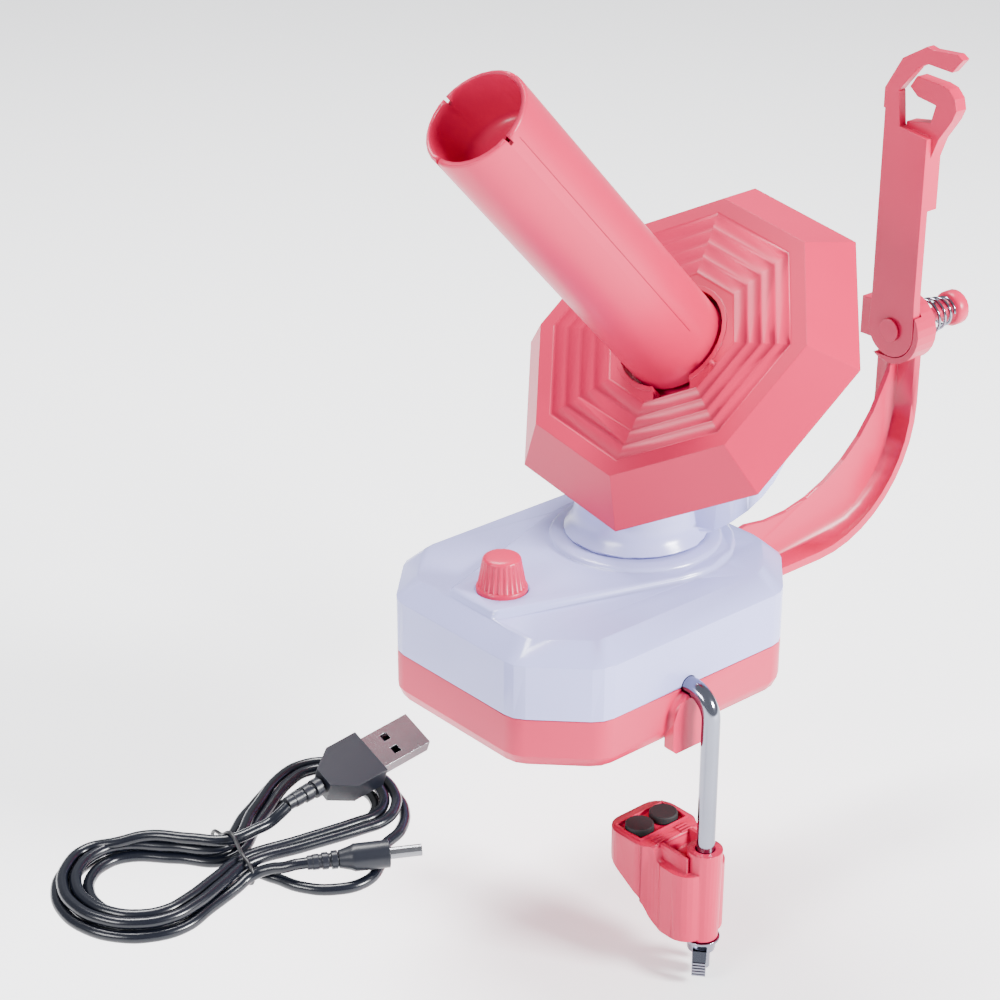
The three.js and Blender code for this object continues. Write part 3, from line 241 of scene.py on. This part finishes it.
def moulded(name, colour, gloss, cloud=35, ripple=420, relief=0.00002, metal=0.0, edge=0.0004,
            shine=0.5):
    """One moulded or cast finish: its skin drives colour, gloss and relief, and its edges are softened."""
    look = bpy.data.materials.new(name)
    look.use_nodes = True
    nodes = look.node_tree.nodes
    link = look.node_tree.links.new
    shader = nodes["Principled BSDF"]
    skin = nodes.new("ShaderNodeGroup")
    skin.node_tree = moulded_skin
    skin.inputs["Colour"].default_value = (*colour, 1)
    skin.inputs["Gloss"].default_value = gloss
    skin.inputs["Cloud"].default_value = cloud
    skin.inputs["Ripple"].default_value = ripple
    link(skin.outputs["Colour"], shader.inputs["Base Color"])
    link(skin.outputs["Roughness"], shader.inputs["Roughness"])
    bump = nodes.new("ShaderNodeBump")
    bump.inputs["Distance"].default_value = relief
    bump.inputs["Strength"].default_value = 0.6
    link(skin.outputs["Height"], bump.inputs["Height"])
    if edge:
        soft_edge = nodes.new("ShaderNodeBevel")
        soft_edge.samples = 4
        soft_edge.inputs["Radius"].default_value = edge
        link(soft_edge.outputs["Normal"], bump.inputs["Normal"])
    link(bump.outputs["Normal"], shader.inputs["Normal"])
    shader.inputs["Metallic"].default_value = metal
    shader.inputs["Specular IOR Level"].default_value = shine
    return look


def take(piece, look, body):
    """Gives a finished piece its material and the body it rides on."""
    piece.data.materials.clear()
    piece.data.materials.append(look)
    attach(piece, body)


def smooth_copy(node, name, look, angle=35, edge=0.0, segments=2):
    """The node's own solid, with its points merged and its curves smooth. An edge size rounds its edges."""
    source = frame["nodes"][node]
    piece = bpy.data.objects.new(name, source.data.copy())
    bpy.context.collection.objects.link(piece)
    bpy.ops.object.select_all(action="DESELECT")
    bpy.context.view_layer.objects.active = piece
    piece.select_set(True)
    bpy.ops.object.mode_set(mode="EDIT")
    bpy.ops.mesh.select_all(action="SELECT")
    bpy.ops.mesh.remove_doubles(threshold=0.000002)
    if edge:
        bpy.ops.mesh.dissolve_limited(angle_limit=math.radians(0.5))
    bpy.ops.object.mode_set(mode="OBJECT")
    if edge:
        rounding = piece.modifiers.new("rounding", "BEVEL")
        rounding.width = edge
        rounding.segments = segments
        rounding.limit_method = "ANGLE"
        rounding.angle_limit = math.radians(angle)
        bpy.ops.object.modifier_apply(modifier="rounding")
    bpy.ops.object.shade_smooth_by_angle(angle=math.radians(angle))
    even = piece.modifiers.new("even", "WEIGHTED_NORMAL")
    even.keep_sharp = True
    bpy.ops.object.modifier_apply(modifier="even")
    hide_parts(node)
    take(piece, look, source["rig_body"])
    return piece


def into_mesh(piece):
    """Makes a drawn line a mesh."""
    bpy.ops.object.select_all(action="DESELECT")
    bpy.context.view_layer.objects.active = piece
    piece.select_set(True)
    bpy.ops.object.convert(target="MESH")


def made_here(name):
    """Takes the last operator's new object, names it and puts its place into its mesh."""
    piece = bpy.context.object
    piece.name = name
    bpy.ops.object.transform_apply(location=True, rotation=True, scale=True)
    return piece


cord_jacket = moulded("cord_jacket", (0.003, 0.004, 0.008), 0.24, 60, 700, 0.00002, edge=0, shine=0.4)
take(cord, cord_jacket, "case")

# USB plug: a folded steel shell with two latch windows, in a black six-sided grip moulded over the cord's
# end with a ribbed strain relief behind it. It lies on the loops, leaning towards the open side.
plated_shell = moulded("plated_shell", (0.22, 0.22, 0.235), 0.26, 90, 500, 0.00001, metal=1.0, edge=0.0002)
plug_rubber = moulded("plug_rubber", (0.006, 0.007, 0.012), 0.36, 70, 800, 0.00003, edge=0.0003, shine=0.35)
usb_shell = smooth_copy("usb_plug_shell", "usb_shell", plated_shell)
usb_grip = smooth_copy("usb_plug_body", "usb_grip", plug_rubber, 50, 0.0007, 3)

# DC plug: a nickel-plated barrel in a round black grip, with a segmented strain relief. It rests across the
# low strand of the lead.
dc_barrel = smooth_copy("dc_plug_barrel", "dc_barrel", plated_shell)
dc_grip = smooth_copy("dc_plug_body", "dc_grip", plug_rubber, 40, 0.0003, 2)

# Wire tie: one turn of a thin plastic-coated wire round the waist of the hank, twisted shut on top.
tie_coat = moulded("tie_coat", (0.006, 0.006, 0.008), 0.4, 60, 900, edge=0)
tie_line = bpy.data.curves.new("wire_tie", "CURVE")
tie_line.dimensions = "3D"
tie_line.bevel_depth = 0.55 * MM
tie_line.bevel_resolution = 3
tie_spline = tie_line.splines.new("BEZIER")
tie_lean = 0.12
tie_ring = [(-12.2, 3), (-11.4, 6.2), (-6, 8.2), (0, 11.6), (6, 8.2), (11.4, 6.2), (12.2, 3), (10.5, 0.6),
            (-10.5, 0.6)]
tie_spline.bezier_points.add(len(tie_ring) - 1)
for knot, (side, height) in zip(tie_spline.bezier_points, tie_ring):
    knot.co = Vector((waist[0] + side * tie_lean, waist[1] + side, height)) * MM
    knot.handle_left_type = "AUTO"
    knot.handle_right_type = "AUTO"
tie_spline.use_cyclic_u = True
wire_tie = bpy.data.objects.new("wire_tie", tie_line)
bpy.context.collection.objects.link(wire_tie)
into_mesh(wire_tie)
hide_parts("cord_tie")
take(wire_tie, tie_coat, "case")

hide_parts("cord_hank", "cord_tail_usb", "cord_tail_dc")

# Case: two moulded halves that meet at a fine seam. The lower one is pink with a rounded floor and a tab
# that hooks over the table's edge; the upper one is cool white with a raised deck and a two-step turret.
salmon_pink = (0.48, 0.004, 0.052)
pink_plastic = moulded("pink_plastic", salmon_pink, 0.34, 18, 260, 0.00003, edge=0.0003, shine=0.35)
white_plastic = moulded("white_plastic", (0.335, 0.345, 0.64), 0.22, 18, 240, 0.00003, edge=0.0003)
lower_shell = smooth_copy("lower_case", "lower_shell", pink_plastic, 24)
upper_shell = smooth_copy("upper_case", "upper_shell", white_plastic, 24)

# Case screws: small plated pan-head screws, one up each post and one up the middle column.
screw_steel = moulded("screw_steel", (0.50, 0.50, 0.52), 0.34, 120, 900, 0.00002, metal=1.0, edge=0.0002)
for number in range(1, 5):
    smooth_copy(f"case_screw_{number}", f"post_screw_{number}", screw_steel)
smooth_copy("column_screw", "foot_screw", screw_steel)
smooth_copy("column_cap_screw", "cap_screw", screw_steel)
for number in (1, 2):
    smooth_copy(f"arm_screw_{number}", f"arm_foot_screw_{number}", screw_steel)

# Drive: a round motor hung from a steel plate turns a brass pinion, a two-step nylon idler and the large
# nylon gear under the rotor.
gear_nylon = moulded("gear_nylon", (0.80, 0.79, 0.74), 0.42, 50, 500, 0.00003, edge=0.0002)
motor_zinc = moulded("motor_zinc", (0.55, 0.56, 0.58), 0.3, 80, 350, 0.00002, metal=1.0, edge=0.0004)
turned_brass = moulded("turned_brass", (0.72, 0.52, 0.22), 0.3, 90, 600, 0.00002, metal=1.0, edge=0.0002)
for node, name in (("centre_column", "column"), ("fixed_bevel_gear", "still_bevel"),
                   ("thrust_washer", "slip_washer"), ("rotor_gear", "large_gear"),
                   ("spindle_gear", "spindle_bevel"), ("idler_gear", "two_step_idler")):
    smooth_copy(node, name, gear_nylon)
for node, name in (("motor", "motor_can"), ("motor_plate", "motor_bracket"), ("idler_axle", "idler_pin"),
                   ("speed_control", "speed_pot"), ("rod_retainer", "rod_clip")):
    smooth_copy(node, name, motor_zinc)
for node, name in (("motor_pinion", "brass_pinion"), ("rotor_bush", "brass_bush"),
                   ("speed_shaft", "knob_shaft")):
    smooth_copy(node, name, turned_brass)

# Circuit board: green epoxy board that carries the speed control's wiring, with the black DC socket
# behind it.
board_green = moulded("board_green", (0.03, 0.16, 0.07), 0.35, 150, 800, 0.00003, edge=0.0001)
socket_black = moulded("socket_black", (0.02, 0.02, 0.022), 0.4, 60, 700, edge=0.0002)
smooth_copy("control_board", "green_board", board_green)
smooth_copy("dc_jack", "dc_socket", socket_black)

# Speed knob: pink, with a plain skirt, twenty-four narrow flutes that close in towards the top and a smooth
# domed crown.
knob_low, knob_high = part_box("speed_knob")
knob_middle = ((knob_low[0] + knob_high[0]) / 2, (knob_low[1] + knob_high[1]) / 2)
knob_radius = (knob_high[0] - knob_low[0]) / 2
knob_tall = knob_high[2] - knob_low[2]
skirt_tall = 1.5 * MM
flutes = 24
flute_depth = 0.062
bpy.ops.object.select_all(action="DESELECT")
bpy.ops.mesh.primitive_cylinder_add(vertices=144, radius=knob_radius, depth=skirt_tall,
                                    location=(*knob_middle, knob_low[2] + skirt_tall / 2))
knob = bpy.context.object


def top_faces(piece, height):
    """Selects the faces that look up at this height."""
    bpy.ops.mesh.select_all(action="DESELECT")
    shape = bmesh.from_edit_mesh(piece.data)
    for face in shape.faces:
        world = piece.matrix_world @ face.calc_center_median()
        face.select = face.normal.z > 0.9 and abs(world.z - height) < 0.00005
    bmesh.update_edit_mesh(piece.data)


def lift_and_scale(rise, factor):
    bpy.ops.mesh.extrude_region_move(TRANSFORM_OT_translate={"value": (0, 0, rise)})
    bpy.ops.transform.resize(value=(factor, factor, 1), center_override=(*knob_middle, 0))


bpy.ops.object.mode_set(mode="EDIT")
bpy.context.tool_settings.mesh_select_mode = (False, False, True)
top_faces(knob, knob_low[2] + skirt_tall)
for rise, factor in ((0.25, 0.97), (0.2, 0.975), (knob_tall / MM - 4.2, 0.81), (0.7, 0.975), (0.5, 0.95),
                     (0.35, 0.9), (0.2, 0.8), (0.12, 0.6), (0.05, 0.3)):
    lift_and_scale(rise * MM, factor)
bpy.ops.object.mode_set(mode="OBJECT")
knob = made_here("fluted_knob")
flute_foot = knob_low[2] + 1.8 * MM
flute_head = knob_high[2] - 2.0 * MM
for point in knob.data.vertices:
    if flute_foot < point.co.z < flute_head:
        out = Vector((point.co.x - knob_middle[0], point.co.y - knob_middle[1]))
        turn = math.atan2(out.y, out.x) / (2 * math.pi) * flutes
        groove = 0.5 - 0.5 * math.cos(2 * math.pi * turn)
        closer = 1 - flute_depth * groove ** 1.5
        point.co.x = knob_middle[0] + out.x * closer
        point.co.y = knob_middle[1] + out.y * closer
bpy.context.view_layer.objects.active = knob
bpy.ops.object.shade_smooth_by_angle(angle=math.radians(50))
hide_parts("speed_knob")
take(knob, pink_plastic, "knob")

# Rotor: a white drum that turns on the turret and opens into a leaning cup, which carries the spindle's
# axle. The cup hides the pair of bevel gears under the flange.
smooth_copy("rotor_housing", "rotor_cup", white_plastic, 32)
smooth_copy("spindle_axle", "tilted_axle", screw_steel)
smooth_copy("spindle_cap", "axle_cap", screw_steel)

# Flange and tube: a pink eight-sided pan whose face steps down in rings towards the socket, and the hollow
# tube that the ball is wound on, with a slotted ledge inside its mouth, four short slits in its rim and the
# mould's parting line down one side, a thin ridge whose darker pink is painted shade. The rings are cut
# deeper than the solid's and their sides are sloped.
flange_pink = moulded("flange_pink", salmon_pink, 0.36, 18, 260, 0.00003, edge=0.0004, shine=0.35)
flange = smooth_copy("flange_plate", "flange_pan", flange_pink, 12)
face_middle = Vector((0.0315, 0, 0.1126))
lean = math.radians(42.8)
face_out = Vector((-math.sin(lean), 0, math.cos(lean)))
step_apothems = (43, 38, 33, 28, 23)
step_down = 0.25
step_slope = 1.1
step_deeper = 0.6
for point in flange.data.vertices:
    depth = (point.co - face_middle).dot(face_out)
    if not -1.3 * MM < depth < -0.02 * MM:
        continue
    middle = face_middle + face_out * depth
    spoke = point.co - middle
    for number, apothem in enumerate(step_apothems):
        corner = apothem * MM / math.cos(math.radians(22.5))
        foot = -step_down * (number + 1) * MM
        if abs(depth - foot) < 0.05 * MM and abs(spoke.length - corner) < 0.3 * MM:
            spoke *= 1 - step_slope * MM / corner
    point.co = middle + spoke + face_out * depth * step_deeper
tube_inside = moulded("tube_pink", salmon_pink, 0.34, 18, 260, 0.00003, edge=0.0003, shine=0.35)
smooth_copy("bobbin_tube", "winding_tube", tube_inside, 35)
seam_long = 104 * MM
seam_start = 11 * MM
tube_side = Vector((0, -16.98 * MM, 0))
seam_middle = face_middle + face_out * (seam_long / 2 + seam_start) + tube_side
bpy.ops.object.select_all(action="DESELECT")
bpy.ops.mesh.primitive_cylinder_add(vertices=10, radius=0.16 * MM, depth=seam_long, location=seam_middle,
                                    rotation=(0, -lean, 0))
bpy.ops.object.mode_set(mode="EDIT")
bpy.ops.mesh.select_all(action="SELECT")
bpy.ops.mesh.bevel(offset=0.05 * MM, segments=2, affect="EDGES")
bpy.ops.object.mode_set(mode="OBJECT")
seam = made_here("tube_parting_line")
# The parting line's ridge is coloured a darker pink than the tube: painted shade along it.
seam_painted_shade = moulded("seam_painted_shade", (0.30, 0.002, 0.03), 0.4, 18, 260, 0.00003, edge=0, shine=0.3)
take(seam, seam_painted_shade, "tube")

# Guide arm: a pink strip that runs out under the case and curves up, stiffened by a thin web, with a round
# seat at its top for the folding arm. The upper arm is a flat blade that ends in two hooks for the yarn.
smooth_copy("guide_arm_lower", "arm_bow", pink_plastic, 22)
smooth_copy("guide_arm_upper", "arm_blade", pink_plastic, 25, 0.001, 3)
smooth_copy("hinge_pin", "push_pin", pink_plastic, 35)

# Hinge spring: a tapering coil of bright wire round the push pin, big end on the seat.
spring_low, spring_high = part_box("hinge_spring")
wire = 0.55 * MM
spring_axis_z = (spring_low[2] + spring_high[2]) / 2
spring_turns = 5.5
big_coil, small_coil = 7.8, 4.6
flat_end = 0.06
spring_line = bpy.data.curves.new("hinge_coil", "CURVE")
spring_line.dimensions = "3D"
spring_line.bevel_depth = wire
spring_line.bevel_resolution = 3
spring_spline = spring_line.splines.new("POLY")
spring_steps = 180
spring_spline.points.add(spring_steps)
for step, knot in enumerate(spring_spline.points):
    share = step / spring_steps
    wound = min(max((share - flat_end) / (1 - 2 * flat_end), 0), 1)
    radius = (big_coil - (big_coil - small_coil) * wound) * MM
    turn = share * spring_turns * 2 * math.pi
    along = spring_low[0] + wire + wound * (spring_high[0] - spring_low[0] - 2 * wire)
    knot.co = (along, radius * math.cos(turn), spring_axis_z + radius * math.sin(turn), 1)
hinge_coil = bpy.data.objects.new("hinge_coil", spring_line)
bpy.context.collection.objects.link(hinge_coil)
into_mesh(hinge_coil)
bright_steel = moulded("bright_steel", (0.22, 0.23, 0.28), 0.12, 60, 300, 0.00001, metal=1.0, edge=0)
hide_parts("hinge_spring")
take(hinge_coil, bright_steel, "case")
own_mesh(hinge_coil)

# Clamp: a bent bright steel rod out of the case's front, a pink jaw that slides up it with two rubber pads,
# a washer and a wing nut below.
rod_low, rod_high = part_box("clamp_rod")
rod_radius = 3 * MM
bend_radius = 8.5 * MM
rod_x = (rod_low[0] + rod_high[0]) / 2
rod_y = rod_low[1] + rod_radius
rod_z = rod_high[2] - rod_radius
rod_line = bpy.data.curves.new("bent_rod", "CURVE")
rod_line.dimensions = "3D"
rod_line.bevel_depth = rod_radius
rod_line.bevel_resolution = 8
rod_line.use_fill_caps = True
rod_spline = rod_line.splines.new("POLY")
rod_places = [(rod_x, rod_high[1], rod_z)]
bend_steps = 16
for step in range(bend_steps + 1):
    turn = math.radians(90 * step / bend_steps)
    inward = bend_radius * (1 - math.sin(turn))
    downward = bend_radius * (1 - math.cos(turn))
    rod_places.append((rod_x, rod_y + inward, rod_z - downward))
rod_places.append((rod_x, rod_y, rod_low[2]))
rod_spline.points.add(len(rod_places) - 1)
for knot, place in zip(rod_spline.points, rod_places):
    knot.co = (*place, 1)
bent_rod = bpy.data.objects.new("bent_rod", rod_line)
bpy.context.collection.objects.link(bent_rod)
into_mesh(bent_rod)
bpy.ops.object.shade_smooth_by_angle(angle=math.radians(40))
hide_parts("clamp_rod")
take(bent_rod, bright_steel, "case")
smooth_copy("clamp_jaw", "jaw", pink_plastic, 30)
pad_rubber = moulded("pad_rubber", (0.006, 0.006, 0.007), 0.75, 80, 900, 0.00005, edge=0.0003)
for number in (1, 2):
    smooth_copy(f"jaw_pad_{number}", f"grip_pad_{number}", pad_rubber, 40, 0.0005, 3)
smooth_copy("clamp_washer", "flat_washer", bright_steel, 35, 0.0002)
smooth_copy("wing_nut", "wing_nut_cast", bright_steel, 35, 0.0004)
